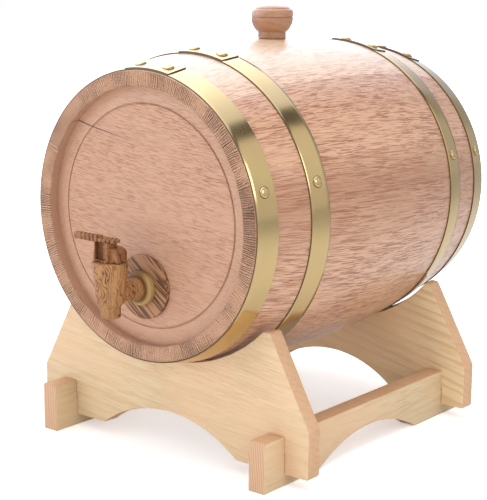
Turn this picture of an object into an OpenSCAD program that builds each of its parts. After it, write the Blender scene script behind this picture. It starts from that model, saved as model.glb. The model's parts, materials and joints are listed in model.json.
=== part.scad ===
// Oak cask liquor dispenser: a coopered cask with brass hoops lies in a low
// board stand, with a turned bung on top and a quarter-turn wooden tap.
// Millimetres. +Z is up, the tap points along -Y, and the origin lies on the
// ground under the middle of the whole object.

/* [Cask] */
// Length of the cask over the ends of the staves
cask_length = 270; // [256:1:284]
// Outer radius of the cask at either end
end_radius = 95; // [92:0.5:98]
// How much larger the radius is half-way, at the bung
bulge = 14.8; // [12:0.1:16]
// Height of the cask's axis over the ground
axis_height = 165.7; // [162:0.1:172]
// Number of staves
stave_count = 24; // [20:2:28]
// Thickness of a stave
stave_thickness = 10; // [8.5:0.5:11]
// Gap between neighbouring staves
stave_gap = 0.1; // [0.05:0.05:0.3]
// Depth of the groove in the staves that holds a head
croze_depth = 2.5; // [1.5:0.5:3.5]

/* [Heads] */
// How far a head's face lies back from the stave ends
head_recess = 6; // [4:0.5:9]
// Thickness of a head
head_thickness = 10; // [8:0.5:12]
// Thickness of the tongue that a head's edge is thinned to
tongue_thickness = 4; // [3:0.5:5]
// Set-back of the tongue from the head's front face
tongue_set_back = 2.5; // [1.5:0.5:3.5]
// Radius of the flat middle of a head, where its bevel starts
head_flat_radius = 73.7; // [68:0.1:78]

/* [Hoops] */
// Width of a hoop
hoop_width = 17; // [12:0.5:19]
// Thickness of the hoop strap
hoop_thickness = 0.8; // [0.6:0.1:1.5]
// Distance from a stave end to the end hoop
hoop_end_gap = 0.5; // [0:0.5:3]
// Distance from a stave end to the nearer quarter hoop
quarter_gap = 45; // [42:0.5:48]
// Radius of a rivet head
rivet_head_radius = 4; // [3:0.25:5]
// Height of a rivet head
rivet_head_height = 1.6; // [1:0.1:2.2]
// Radius of a rivet shank
rivet_shank_radius = 1.5; // [1:0.25:2]
// Distance between the two rivets of a hoop's joint, along the hoop
rivet_pitch = 23.5; // [16:0.5:30]
// Length of the lap beyond the rivets at a hoop's joint
lap_end = 7; // [5:0.5:9]

/* [Bung] */
// Radius of the bung hole at the outside of its stave
bung_hole_radius = 8.6; // [7:0.1:9]
// Narrowing of the bung hole's radius through the stave
bung_hole_taper = 0.8; // [0.4:0.1:1.2]
// Radius of the bung's collar, which sits on the stave
bung_collar_radius = 10.1; // [9.6:0.1:11]
// Height of the bung's collar
bung_collar_height = 4.4; // [3:0.1:6]
// Radius of the knob's bowl where it meets the collar
bung_foot_radius = 10.7; // [10:0.1:11.5]
// Largest radius of the bung's knob
bung_knob_radius = 14.7; // [12:0.1:16]
// Height of the bung over the stave
bung_height = 23.4; // [21.5:0.1:26]
// Height of the rim of the knob over the stave
bung_rim_height = 20.4; // [18.5:0.1:21]
// Rounding of the rim of the knob
bung_rim_rounding = 2.4; // [1:0.1:3]
// Length of the bung's plug below the collar
bung_plug_length = 12; // [8:0.5:16]
// Width and depth of the turned line round the knob
bung_line = 0.5; // [0.3:0.1:0.8]
// Height of the turned line over the stave
bung_line_height = 14.5; // [11:0.1:15]

/* [Tap] */
// Distance from the lower edge of the cask's end up to the tap
tap_edge_gap = 48.3; // [45:0.1:53]
// How far the tap stands to the right of the cask's axis; less than zero is to the left
tap_side = -2; // [-4:0.5:4]
// Distance from the stave ends to the upright axis of the tap
tap_reach = 27; // [25:0.1:32]
// Radius of the tap's upright barrel at its top
tap_top_radius = 11.8; // [11:0.1:12.5]
// Radius of the tap's upright barrel above its shoulder
tap_shoulder_radius = 8.9; // [8:0.1:9.6]
// Height of the tap's top over the horizontal bore
tap_rise = 22; // [18:0.1:25]
// Depth of the tap's shoulder under the horizontal bore
tap_fall = 7; // [6:0.5:9]
// Rounding of the tap's shoulder
tap_shoulder_rounding = 2; // [1:0.1:2.2]
// Radius of the spout
spout_radius = 6.6; // [5.5:0.1:7]
// Length of the spout below the shoulder
spout_length = 7.5; // [6:0.1:12]
// Radius of the bore through the spout
spout_bore_radius = 3.2; // [2.5:0.1:3.6]
// Radius of the horizontal bore
tap_bore_radius = 2.6; // [2:0.1:3]
// Radius of the stem at the upright barrel
neck_radius = 6.2; // [5.5:0.1:7]
// Radius of the stem's bead in front of the washer
bead_radius = 7.6; // [7.1:0.1:9]
// Length of the stem's bead
bead_length = 8; // [7:0.1:9]
// Radius of the stem where it passes through the head
stem_radius = 7; // [6:0.1:7.8]
// Radius of the stem's inner end
stem_end_radius = 5.8; // [5:0.1:5.9]
// Length of the stem inside the cask, measured from the head's front face
stem_length = 30; // [20:1:40]
// Radius of the washer
washer_radius = 11.6; // [10:0.1:13]
// Thickness of the washer
washer_thickness = 5.4; // [4:0.1:6]
// Depth of the hollow in the washer's front
washer_hollow = 1.6; // [1:0.1:2.6]
// Width of the flat rim round the washer's hollow
washer_rim = 1.4; // [1:0.1:2.4]
// Radius of the rosette
rosette_radius = 21.4; // [18:0.1:24]
// Thickness of the rosette
rosette_thickness = 3.4; // [2.4:0.1:4]

/* [Key] */
// Radius of the key's plug at the top of the tap
plug_top_radius = 6.6; // [6:0.1:7]
// Radius of the key's plug at its lower end
plug_end_radius = 5; // [4.6:0.1:5.4]
// Running clearance round the plug
plug_clearance = 0.06; // [0.03:0.01:0.1]
// Depth of the plug's lower end under the horizontal bore
plug_fall = 5; // [4:0.5:5.5]
// Play between the key's head and the top of the tap
key_play = 0.5; // [0.3:0.1:0.8]
// Radius of the key's head
key_head_radius = 10.8; // [10:0.1:11.2]
// Height of the key's head
key_head_height = 9; // [7.5:0.1:10]
// Rounding of the top of the key's head
key_head_rounding = 4.2; // [2:0.1:4.4]
// Distance from the key's axis to its flat front
key_flat = 6.3; // [5.8:0.1:7]
// Width of the key's neck from front to back
key_neck_width = 9; // [9:0.1:12]
// Thickness of the key's neck along the lever
key_neck_thickness = 11.8; // [10.4:0.1:12.4]
// How far the neck stands towards the lever's tail
key_neck_shift = 2.1; // [1:0.1:2.2]
// Height of the key's neck over its head
key_neck_height = 3.4; // [3:0.1:6]
// Width of the hollow worked into the key's head beside the neck
key_notch_width = 2.2; // [1:0.1:4]
// Width of the slot down the neck's front
key_slot_width = 7.2; // [5:0.1:7.6]
// Depth of that slot
key_slot_depth = 3.2; // [2:0.1:3.4]
// Wall between that slot and the neck's side
key_slot_wall = 1; // [0.8:0.1:1.6]
// Width of the lever's plate, whose ends are round
lever_plate_width = 9.8; // [9:0.1:12]
// Thickness of the lever's plate
lever_thickness = 1.7; // [1.4:0.1:2.6]
// Distance from the key's axis to the plate's end on the tail's side
lever_plate_back = 11.7; // [11:0.1:13]
// Distance from the key's axis to the plate's other end
lever_plate_front = 7.1; // [6.5:0.1:8]
// Length of the lever from the key's axis to the tip of its tail
lever_length = 30; // [24:0.5:34]
// Width of the lever's tail
lever_tail_width = 5; // [4:0.1:8]
// Height of the lever's tail
lever_tail_height = 4; // [3.4:0.1:5]
// How far the tail hangs below the plate
lever_tail_drop = 1.1; // [0.8:0.1:1.4]
// Size of the square peg that holds the lever on the key
peg_width = 4.4; // [4:0.1:4.6]
// Clearance round the peg
peg_clearance = 0.05; // [0.03:0.01:0.1]

/* [Stand] */
// Thickness of a cradle board
board_thickness = 12; // [10:0.5:14]
// Distance from the front stave ends to the front board
front_board_y = 24.6; // [22:0.1:26]
// Distance from the rear stave ends to the rear board
rear_board_gap = 43.6; // [42:0.1:60]
// Half the width of a cradle board
board_half_width = 119.5; // [114:0.5:126]
// Height of the boards' lower edge over the ground
board_lift = 7.8; // [5:0.1:10]
// Height at which a board's sloping sides start
shoulder_height = 40; // [36:0.5:46]
// Height of the horns at the boards' upper ends
horn_height = 99; // [94:0.1:102]
// How much lower the rear board's horns are
rear_horn_drop = 1.4; // [0:0.1:3]
// Distance from the middle to the outer corner of a horn
horn_outer = 88; // [86:0.1:94]
// How far the centre of the front saddle's arc lies over the cask's axis
front_saddle_ease = 16; // [10:0.5:20]
// How far the centre of the rear saddle's arc lies over the cask's axis
rear_saddle_ease = 6.5; // [3:0.5:8]
// Space left under the cask in the saddle
saddle_clearance = 0.3; // [0.3:0.05:0.6]
// Half the width of the arch under a board
arch_half_width = 60; // [50:1:66]
// Rise of the arch under the front board
front_arch_rise = 20.7; // [16:0.1:24]
// Rise of the arch under the rear board
rear_arch_rise = 24; // [16:0.1:28]
// Width of the bevel along the boards' outer corners
board_bevel = 1.2; // [0.6:0.1:2]
// Thickness of a rail
rail_thickness = 12.7; // [10:0.1:14]
// Distance from the side of a board to a rail's outer face
rail_inset = 19.2; // [16:0.1:24]
// Height of a rail
rail_height = 33.3; // [30:0.1:36]
// Length of a rail beyond each board
rail_overhang = 20.6; // [16:0.1:24]
// Distance from the front board to a rail's arch
rail_arch_front_gap = 25.4; // [20:0.1:32]
// Distance from a rail's arch to the rear board
rail_arch_rear_gap = 34.4; // [28:0.1:42]
// Rise of the arch under a rail
rail_arch_rise = 16.5; // [12:0.1:18]
// Height of the halving joints' meeting face over the ground
halving_height = 20.4; // [19:0.1:21]
// Clearance in the halving joints
halving_clearance = 0.1; // [0.05:0.01:0.2]

/* [Hidden] */
// Facets that make the quick view smooth; each is a true circle in the solids
round_fn = 96;
fine_fn = 256;
// Cuts run this far past the faces that they open
cut = 1;
full_turn = 360;
half_turn = 180;
right_angle = 90;

// The cask's outline is one arc from end to end
half_length = cask_length / 2;
bulge_radius = end_radius + bulge;
arc_radius = (half_length * half_length + bulge * bulge) / (2 * bulge);
arc_centre = bulge_radius - arc_radius;
// Radius of the cask at a distance y behind the front stave ends, grown outwards by grow
function cask_radius(y, grow = 0) =
    arc_centre + sqrt((arc_radius + grow) * (arc_radius + grow) - (y - half_length) * (y - half_length));
// Slope of the cask's outline there, as the angle between its normal and the cross-section
function cask_tilt(y) = asin((y - half_length) / arc_radius);

stave_pitch = full_turn / stave_count;
stave_gap_angle = stave_gap / bulge_radius * half_turn / PI;
bung_stave = 1;

// The tongue of a head sits in the croze with a sliver of room
croze_room = 0.1;
tongue_front = head_recess + tongue_set_back;
tongue_back = tongue_front + tongue_thickness;
wall_radius = cask_radius(tongue_front, -stave_thickness);
croze_radius = wall_radius + croze_depth;
head_radius = croze_radius - croze_room;
tongue_root = wall_radius - 2 * croze_room;
head_bevel_back = head_flat_radius + (head_thickness - tongue_set_back - tongue_thickness) / 2;

hoop_starts = [
    hoop_end_gap,
    quarter_gap,
    cask_length - quarter_gap - hoop_width,
    cask_length - hoop_end_gap - hoop_width
];
// Turn of each hoop's riveted joint from +X, and of the single rivets beside it
hoop_joint_turns = [87.4, 84, 80, 78];
side_rivet_turn = 15.5;
rivet_shank_room = 0.05;
rivet_seat = 0.02;
lap_inset = hoop_thickness / 4;
rivet_cap_radius = chord_radius(rivet_head_radius, rivet_head_height);

stave_top = axis_height + bulge_radius;
plug_taper = bung_hole_taper / stave_thickness;
bung_fit = 0.05;
bung_room = 0.05;
knob_arc_start = bung_rim_height - bung_rim_rounding;

tap_height = axis_height - end_radius + tap_edge_gap;
tap_top = tap_rise;
shoulder_z = -tap_fall;
spout_end = shoulder_z - spout_length;
tap_face = tap_reach + head_recess;
rosette_face = tap_face - rosette_thickness;
washer_face = rosette_face - washer_thickness;
bead_start = washer_face + washer_hollow - bead_length;
stem_room = 0.05;
rosette_bevel = rosette_thickness / 5;

plug_slope = (plug_top_radius - plug_end_radius) / (tap_rise + plug_fall);
key_head_base = tap_top + key_play;
key_head_top = key_head_base + key_head_height;
key_neck_top = key_head_top + key_neck_height;
key_front = -key_flat;
key_neck_left = -key_neck_shift - key_neck_thickness / 2;
key_neck_right = key_neck_left + key_neck_thickness;
key_slot_floor = key_head_base + key_slot_wall;
lever_tail_inner = key_neck_left - key_slot_wall / 2;

rear_board_y = cask_length - rear_board_gap - board_thickness;
board_ys = [front_board_y, rear_board_y];
horn_heights = [horn_height, horn_height - rear_horn_drop];
saddle_eases = [front_saddle_ease, rear_saddle_ease];
arch_rises = [front_arch_rise, rear_arch_rise];
stand_front = front_board_y - rail_overhang;
stand_back = rear_board_y + board_thickness + rail_overhang;
rail_mid = board_half_width - rail_inset - rail_thickness / 2;
rail_bevel = board_bevel / 2;
rail_slot = rail_thickness + 2 * halving_clearance;
rail_arch_front = front_board_y + board_thickness + rail_arch_front_gap;
rail_arch_rear = rear_board_y - rail_arch_rear_gap;

// The middle of the object from front to back, between the tap and the rear stave ends
object_front = -tap_reach - tap_top_radius;
object_middle = (object_front + cask_length) / 2;

// Thickness of the strap that lies over a board at y, if any
function strap_over(y) =
    max([
        for (start = hoop_starts)
            start < y + board_thickness && start + hoop_width > y ? hoop_thickness : 0
    ]);

// Radius of the circle that rises by rise over a half-chord
function chord_radius(half_chord, rise) = (half_chord * half_chord + rise * rise) / (2 * rise);

function padded(i) = i < 10 ? str("0", i) : str(i);
stave_names = [for (i = [1:stave_count]) str("stave_", padded(i))];
hoop_names = [for (i = [1:4]) str("hoop_", i)];
rivet_names = [for (i = [1:4]) str("hoop_", i, "_rivets")];

// Colours as they look in even light
oak_light = [0.86, 0.70, 0.60];
oak_dark = [0.80, 0.62, 0.50];
head_oak = [0.87, 0.69, 0.59];
brass = [0.78, 0.70, 0.45];
bung_wood = [0.75, 0.53, 0.40];
tap_wood = [0.66, 0.49, 0.29];
rosette_wood = [0.52, 0.41, 0.34];
washer_wood = [0.64, 0.57, 0.34];
pine = [0.91, 0.80, 0.63];

// Puts a thing measured from the front stave ends, on the ground, into the object's frame
module placed() {
    translate([0, -object_middle, 0]) children();
}

// Turns a thing built along +Z into one that runs backwards along the cask's axis;
// turn is the angle from +X towards the top
module on_cask(turn = 0) {
    placed() translate([0, 0, axis_height]) rotate([-right_angle, 0, 0]) rotate([0, 0, -turn]) children();
}

// The region inside the cask's outline, grown outwards by grow; radius along X, length along Y
module cask_outline(grow = 0) {
    translate([arc_centre, half_length]) circle(r = arc_radius + grow, $fn = fine_fn);
}

// A strip of the cask's wall between two distances, from inner to outer growth
module wall_strip(inner, outer, from, to) {
    intersection() {
        difference() {
            cask_outline(outer);
            cask_outline(inner);
        }
        translate([end_radius / 2, from]) square([bulge_radius, to - from]);
    }
}

// The staves: each is a sector of the wall, with a croze at either end
module stave_section() {
    difference() {
        wall_strip(-stave_thickness, 0, 0, cask_length);
        for (end = [tongue_front - croze_room, cask_length - tongue_back - croze_room])
            translate([end_radius / 2, end])
                square([croze_radius - end_radius / 2, tongue_thickness + 2 * croze_room]);
    }
}

module stave(i) {
    turn = right_angle + (i - bung_stave) * stave_pitch;
    color(i % 2 == 0 ? oak_dark : oak_light)
        difference() {
            on_cask(turn)
                rotate([0, 0, -stave_pitch / 2 + stave_gap_angle / 2])
                    rotate_extrude(angle = stave_pitch - stave_gap_angle, $fn = fine_fn) stave_section();
            if (i == bung_stave)
                bung_hole();
        }
}

// The bung hole tapers inwards, and its cone runs on past both faces of the stave
module bung_hole() {
    placed()
        translate([0, half_length, stave_top - stave_thickness - cut])
            cylinder(
                h = stave_thickness + 2 * cut,
                r1 = bung_hole_radius - plug_taper * (stave_thickness + cut),
                r2 = bung_hole_radius + plug_taper * cut,
                $fn = round_fn
            );
}

// A head: flat in the middle, bevelled to a square tongue at its edge
module head_section() {
    polygon([
        [0, head_recess],
        [head_flat_radius, head_recess],
        [tongue_root, tongue_front],
        [head_radius, tongue_front],
        [head_radius, tongue_back],
        [tongue_root, tongue_back],
        [head_bevel_back, head_recess + head_thickness],
        [0, head_recess + head_thickness]
    ]);
}

module head_disc() {
    rotate_extrude($fn = fine_fn) head_section();
}

module front_head() {
    color(head_oak)
        difference() {
            on_cask() head_disc();
            placed()
                translate([tap_side, 0, tap_height])
                    rotate([-right_angle, 0, 0])
                        cylinder(
                            h = head_recess + head_thickness + cut,
                            r = stem_radius + stem_room,
                            $fn = round_fn
                        );
        }
}

module rear_head() {
    color(head_oak)
        on_cask() translate([0, 0, cask_length]) mirror([0, 0, 1]) head_disc();
}

// Places a thing built along +Z on the outside of the strap at a turn, square to its slope
module on_hoop(i, turn, lift = 0) {
    y = hoop_starts[i] + hoop_width / 2;
    tilt = cask_tilt(y);
    on_cask(turn)
        translate([
            arc_centre + (arc_radius + lift) * cos(tilt),
            0,
            half_length + (arc_radius + lift) * sin(tilt)
        ])
            rotate([0, right_angle - tilt, 0])
                children();
}

// Turns of the four rivets of a hoop: the pair at its joint and one at either side
function rivet_turns(i) =
    let (half_pair = rivet_pitch / 2 / cask_radius(hoop_starts[i] + hoop_width / 2) * half_turn / PI)
    [
        hoop_joint_turns[i] + half_pair,
        hoop_joint_turns[i] - half_pair,
        side_rivet_turn,
        half_turn - side_rivet_turn
    ];

// Layers of strap under each of those rivets
rivet_layers = [2, 2, 1, 1];

// A hoop: a strap bent round the cask, whose end laps over its start
module hoop(i) {
    start = hoop_starts[i];
    half_lap = (rivet_pitch / 2 + lap_end) / cask_radius(start + hoop_width / 2) * half_turn / PI;
    color(brass)
        difference() {
            union() {
                on_cask()
                    rotate_extrude($fn = fine_fn)
                        wall_strip(0, hoop_thickness, start, start + hoop_width);
                on_cask(hoop_joint_turns[i])
                    rotate([0, 0, -half_lap])
                        rotate_extrude(angle = 2 * half_lap, $fn = fine_fn)
                            wall_strip(
                                hoop_thickness / 2, 2 * hoop_thickness,
                                start + lap_inset, start + hoop_width - lap_inset
                            );
            }
            for (turn = rivet_turns(i))
                on_hoop(i, turn)
                    translate([0, 0, -cut])
                        cylinder(
                            h = 2 * hoop_thickness + 2 * cut,
                            r = rivet_shank_radius + rivet_shank_room,
                            $fn = round_fn
                        );
        }
}

// A rivet: a domed head over a shank that passes through the strap
module rivet(layers) {
    rotate_extrude($fn = round_fn)
        intersection() {
            translate([0, rivet_head_height - rivet_cap_radius]) circle(r = rivet_cap_radius, $fn = fine_fn);
            square([rivet_head_radius, rivet_head_height]);
        }
    translate([0, 0, -layers * hoop_thickness])
        cylinder(h = layers * hoop_thickness + rivet_head_height / 2, r = rivet_shank_radius, $fn = round_fn);
}

module hoop_rivets(i) {
    turns = rivet_turns(i);
    color(brass)
        for (k = [0:3])
            on_hoop(i, turns[k], rivet_layers[k] * hoop_thickness + rivet_seat) rivet(rivet_layers[k]);
}

// The knob's bowl swells from the collar to the turned line; its top is a shallow dome
bowl_drop = bung_line_height - bung_collar_height - bung_room;
bowl_radius = chord_radius(bowl_drop, bung_knob_radius - bung_foot_radius);
dome_edge = bung_knob_radius - bung_rim_rounding;
dome_radius = chord_radius(dome_edge, bung_height - bung_rim_height);

// The bung: a tapered plug, a collar and a bowl-shaped knob with a turned line
module bung_profile() {
    polygon([
        [0, -bung_plug_length],
        [bung_hole_radius - bung_fit - plug_taper * bung_plug_length, -bung_plug_length],
        [bung_hole_radius - bung_fit, 0],
        [bung_hole_radius - bung_fit, bung_room],
        [0, bung_room]
    ]);
    translate([0, bung_room]) square([bung_collar_radius, bung_collar_height]);
    intersection() {
        translate([bung_knob_radius - bowl_radius, bung_line_height]) circle(r = bowl_radius, $fn = fine_fn);
        translate([0, bung_collar_height + bung_room]) square([bung_knob_radius, bowl_drop]);
    }
    translate([0, bung_line_height]) square([bung_knob_radius - bung_line, bung_line]);
    translate([0, bung_line_height + bung_line])
        square([bung_knob_radius, knob_arc_start - bung_line_height - bung_line]);
    translate([0, knob_arc_start]) square([dome_edge, bung_rim_rounding]);
    intersection() {
        translate([dome_edge, knob_arc_start]) circle(r = bung_rim_rounding, $fn = round_fn);
        translate([dome_edge, knob_arc_start]) square([bung_rim_rounding, bung_rim_rounding]);
    }
    intersection() {
        translate([0, bung_height - dome_radius]) circle(r = dome_radius, $fn = fine_fn);
        translate([0, bung_rim_height]) square([dome_edge, bung_height - bung_rim_height]);
    }
}

module bung() {
    color(bung_wood)
        placed()
            translate([0, half_length, stave_top])
                rotate_extrude($fn = fine_fn) bung_profile();
}

// Puts a thing built round the tap's upright axis, over the horizontal bore, in its place
module at_tap() {
    placed() translate([tap_side, -tap_reach, tap_height]) children();
}

// Turns a profile of radius and distance into a turned piece that runs backwards from the tap
module stem_turning() {
    rotate([-right_angle, 0, 0]) rotate_extrude($fn = fine_fn) children();
}

module stem_profile() {
    polygon([
        [0, 0],
        [neck_radius, 0],
        [neck_radius, bead_start],
        [stem_radius, bead_start],
        [stem_radius, tap_face + head_thickness],
        [stem_end_radius, tap_face + stem_length - head_recess],
        [0, tap_face + stem_length - head_recess]
    ]);
    bead_end = bead_start + bead_length;
    bead_arc = chord_radius(bead_length / 2, bead_radius - neck_radius);
    intersection() {
        translate([bead_radius - bead_arc, (bead_start + bead_end) / 2]) circle(r = bead_arc, $fn = fine_fn);
        translate([0, bead_start]) square([bead_radius, bead_length]);
    }
}

module upright_profile() {
    polygon([
        [0, shoulder_z],
        [tap_shoulder_radius - tap_shoulder_rounding, shoulder_z],
        [tap_shoulder_radius, shoulder_z + tap_shoulder_rounding],
        [tap_top_radius, tap_top],
        [0, tap_top]
    ]);
    translate([0, spout_end]) square([spout_radius, spout_length]);
}

module tap_body() {
    color(tap_wood)
        at_tap()
            difference() {
                union() {
                    rotate_extrude($fn = fine_fn) upright_profile();
                    stem_turning() stem_profile();
                }
                plug_cone(plug_clearance, tap_top + cut, -plug_fall - plug_clearance);
                translate([0, 0, spout_end - cut])
                    cylinder(h = spout_length + tap_fall + cut, r = spout_bore_radius, $fn = round_fn);
                rotate([-right_angle, 0, 0])
                    cylinder(h = tap_face + stem_length, r = tap_bore_radius, $fn = round_fn);
            }
}

// The plug's cone between two heights, grown by grow
module plug_cone(grow, top, bottom) {
    translate([0, 0, bottom])
        cylinder(
            h = top - bottom,
            r1 = plug_end_radius + grow + plug_slope * (bottom + plug_fall),
            r2 = plug_end_radius + grow + plug_slope * (top + plug_fall),
            $fn = round_fn
        );
}

module tap_washer() {
    color(washer_wood)
        at_tap()
            stem_turning()
                polygon([
                    [stem_radius + stem_room, washer_face + washer_hollow],
                    [washer_radius - washer_rim, washer_face],
                    [washer_radius, washer_face],
                    [washer_radius, rosette_face],
                    [stem_radius + stem_room, rosette_face]
                ]);
}

module tap_rosette() {
    color(rosette_wood)
        at_tap()
            stem_turning()
                polygon([
                    [stem_radius + stem_room, rosette_face],
                    [rosette_radius - rosette_bevel, rosette_face],
                    [rosette_radius, rosette_face + rosette_bevel],
                    [rosette_radius, tap_face],
                    [stem_radius + stem_room, tap_face]
                ]);
}

// The key: a tapered plug bored from below and from the side, a head with a flat front,
// a slotted neck and a square peg for the lever. It is drawn as it stands when the tap is shut.
module tap_key() {
    color(tap_wood)
        at_tap()
            difference() {
                union() {
                    plug_cone(0, key_head_base + key_play, -plug_fall);
                    key_head();
                    translate([key_neck_left, key_front, key_head_base + key_head_height / 2])
                        cube([key_neck_thickness, key_neck_width, key_neck_height + key_head_height / 2]);
                    translate([-peg_width / 2, -peg_width / 2, key_neck_top - cut])
                        cube([peg_width, peg_width, lever_thickness + cut]);
                }
                translate([0, 0, -plug_fall - cut])
                    cylinder(h = plug_fall + cut, r = spout_bore_radius, $fn = round_fn);
                rotate([0, right_angle, 0])
                    cylinder(h = plug_top_radius, r = tap_bore_radius, $fn = round_fn);
                translate([key_neck_left + key_slot_wall, key_front - cut, key_slot_floor])
                    cube([key_slot_width, key_slot_depth + cut, key_neck_top - key_slot_floor + cut]);
            }
}

module key_head() {
    shoulder = key_head_radius - key_head_rounding;
    straight = key_head_height - key_head_rounding;
    translate([0, 0, key_head_base])
        difference() {
            rotate_extrude($fn = fine_fn) {
                square([key_head_radius, straight]);
                square([shoulder, key_head_height]);
                translate([shoulder, straight])
                    intersection() {
                        circle(r = key_head_rounding, $fn = round_fn);
                        square([key_head_rounding, key_head_rounding]);
                    }
            }
            // The flat front, in one plane with the neck
            translate([-key_head_radius - cut, key_front - key_head_radius, -cut])
                cube([2 * (key_head_radius + cut), key_head_radius, key_head_height + 2 * cut]);
            // The hollow beside the neck's front corner
            translate([key_neck_right, key_front - cut, -cut])
                cube([key_head_radius, key_notch_width + cut, key_head_height + 2 * cut]);
        }
}

// The lever: a flat plate with round ends on the key's peg, and a deeper bar for its tail
module tap_lever() {
    plate_end = lever_plate_width / 2;
    color(tap_wood)
        at_tap()
            translate([0, 0, key_neck_top])
                difference() {
                    union() {
                        for (x = [-lever_plate_back + plate_end, lever_plate_front - plate_end])
                            translate([x, 0, 0])
                                cylinder(h = lever_thickness, r = plate_end, $fn = round_fn);
                        translate([-lever_plate_back + plate_end, -plate_end, 0])
                            cube([
                                lever_plate_back + lever_plate_front - lever_plate_width,
                                lever_plate_width,
                                lever_thickness
                            ]);
                        translate([-lever_length, -lever_tail_width / 2, -lever_tail_drop])
                            cube([lever_length + lever_tail_inner, lever_tail_width, lever_tail_height]);
                    }
                    translate([-peg_width / 2 - peg_clearance, -peg_width / 2 - peg_clearance, -cut])
                        cube([
                            peg_width + 2 * peg_clearance,
                            peg_width + 2 * peg_clearance,
                            lever_thickness + 2 * cut
                        ]);
                }
}

// The outline of a cradle board without its saddle; width along X, height along Y
module board_outline(horn) {
    polygon([
        [-board_half_width + board_bevel, board_lift],
        [board_half_width - board_bevel, board_lift],
        [board_half_width, board_lift + board_bevel],
        [board_half_width, shoulder_height],
        [horn_outer, horn - board_bevel],
        [horn_outer - board_bevel, horn],
        [-horn_outer + board_bevel, horn],
        [-horn_outer, horn - board_bevel],
        [-board_half_width, shoulder_height],
        [-board_half_width, board_lift + board_bevel]
    ]);
}

module cradle(k) {
    y = board_ys[k];
    // The saddle is a cone with the cask's own slope, eased towards the horns
    ease = saddle_eases[k];
    front_saddle = cask_radius(y) + strap_over(y) + saddle_clearance + ease;
    rear_saddle = cask_radius(y + board_thickness) + strap_over(y) + saddle_clearance + ease;
    saddle_slope = (rear_saddle - front_saddle) / board_thickness;
    arch_radius = chord_radius(arch_half_width, arch_rises[k]);
    color(pine)
        placed()
            translate([0, y, 0])
                difference() {
                    translate([0, board_thickness, 0])
                        rotate([right_angle, 0, 0])
                            linear_extrude(height = board_thickness) board_outline(horn_heights[k]);
                    translate([0, -cut, axis_height + ease])
                        rotate([-right_angle, 0, 0])
                            cylinder(
                                h = board_thickness + 2 * cut,
                                r1 = front_saddle - saddle_slope * cut,
                                r2 = rear_saddle + saddle_slope * cut,
                                $fn = fine_fn
                            );
                    translate([0, -cut, board_lift + arch_rises[k] - arch_radius])
                        rotate([-right_angle, 0, 0])
                            cylinder(h = board_thickness + 2 * cut, r = arch_radius, $fn = fine_fn);
                    for (side = [-1, 1])
                        translate([side * rail_mid - rail_slot / 2, -cut, board_lift - cut])
                            cube([
                                rail_slot,
                                board_thickness + 2 * cut,
                                halving_height + halving_clearance - board_lift + cut
                            ]);
                }
}

// The outline of a rail; length along X, height along Y
module rail_outline() {
    arch_half = (rail_arch_rear - rail_arch_front) / 2;
    arch_radius = chord_radius(arch_half, rail_arch_rise);
    board_slot = board_thickness + 2 * halving_clearance;
    difference() {
        polygon([
            [stand_front, 0],
            [stand_back, 0],
            [stand_back, rail_height - rail_bevel],
            [stand_back - rail_bevel, rail_height],
            [stand_front + rail_bevel, rail_height],
            [stand_front, rail_height - rail_bevel]
        ]);
        translate([rail_arch_front + arch_half, rail_arch_rise - arch_radius])
            circle(r = arch_radius, $fn = fine_fn);
        for (y = board_ys)
            translate([y - halving_clearance, halving_height])
                square([board_slot, rail_height]);
    }
}

module rail(side) {
    color(pine)
        placed()
            translate([side * rail_mid - rail_thickness / 2, 0, 0])
                rotate([right_angle, 0, right_angle])
                    linear_extrude(height = rail_thickness) rail_outline();
}

for (i = [1:stave_count])
    stave(i);
front_head();
rear_head();
for (i = [0:3])
    hoop(i);
for (i = [0:3])
    hoop_rivets(i);
bung();
tap_body();
tap_rosette();
tap_washer();
tap_key();
tap_lever();
cradle(0);  // front_cradle
cradle(1);  // rear_cradle
rail(-1);  // left_rail
rail(1);  // right_rail
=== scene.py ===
"""Oak cask liquor dispenser: the looks of the cask, its tap and its stand.

The CAD model is the frame. The turned, bent and sawn pieces are made here again
with finer surfaces, in the CAD's own places, and every finish is procedural.
"""

import json
import math

import bpy
import bmesh
from mathutils import Matrix, Vector


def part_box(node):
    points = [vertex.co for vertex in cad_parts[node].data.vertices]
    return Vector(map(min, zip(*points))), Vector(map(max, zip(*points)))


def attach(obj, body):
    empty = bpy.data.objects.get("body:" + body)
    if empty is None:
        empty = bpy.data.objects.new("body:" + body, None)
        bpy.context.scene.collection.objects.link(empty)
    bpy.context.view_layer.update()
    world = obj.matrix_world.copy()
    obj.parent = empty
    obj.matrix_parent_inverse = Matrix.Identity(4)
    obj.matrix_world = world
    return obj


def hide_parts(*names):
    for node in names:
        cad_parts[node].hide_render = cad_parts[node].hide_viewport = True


bl_info = {
    "name": "Oak Cask Dispenser",
    "version": (1, 0, 0),
    "blender": (4, 5, 0),
    "location": "View3D > Sidebar > Cask",
    "description": "Builds the dressed oak cask dispenser over its CAD frame",
    "category": "Object",
}

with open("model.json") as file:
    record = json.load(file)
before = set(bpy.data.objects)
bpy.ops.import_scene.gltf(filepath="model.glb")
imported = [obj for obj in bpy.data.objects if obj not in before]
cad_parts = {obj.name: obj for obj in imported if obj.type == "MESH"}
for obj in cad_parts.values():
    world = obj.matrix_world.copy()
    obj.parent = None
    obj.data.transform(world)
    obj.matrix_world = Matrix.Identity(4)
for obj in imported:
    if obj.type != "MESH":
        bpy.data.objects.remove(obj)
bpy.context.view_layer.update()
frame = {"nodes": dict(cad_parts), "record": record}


# Sizes read from the frame

def box_middle(node, axis):
    low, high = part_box(node)
    return (low[axis] + high[axis]) / 2


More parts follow.
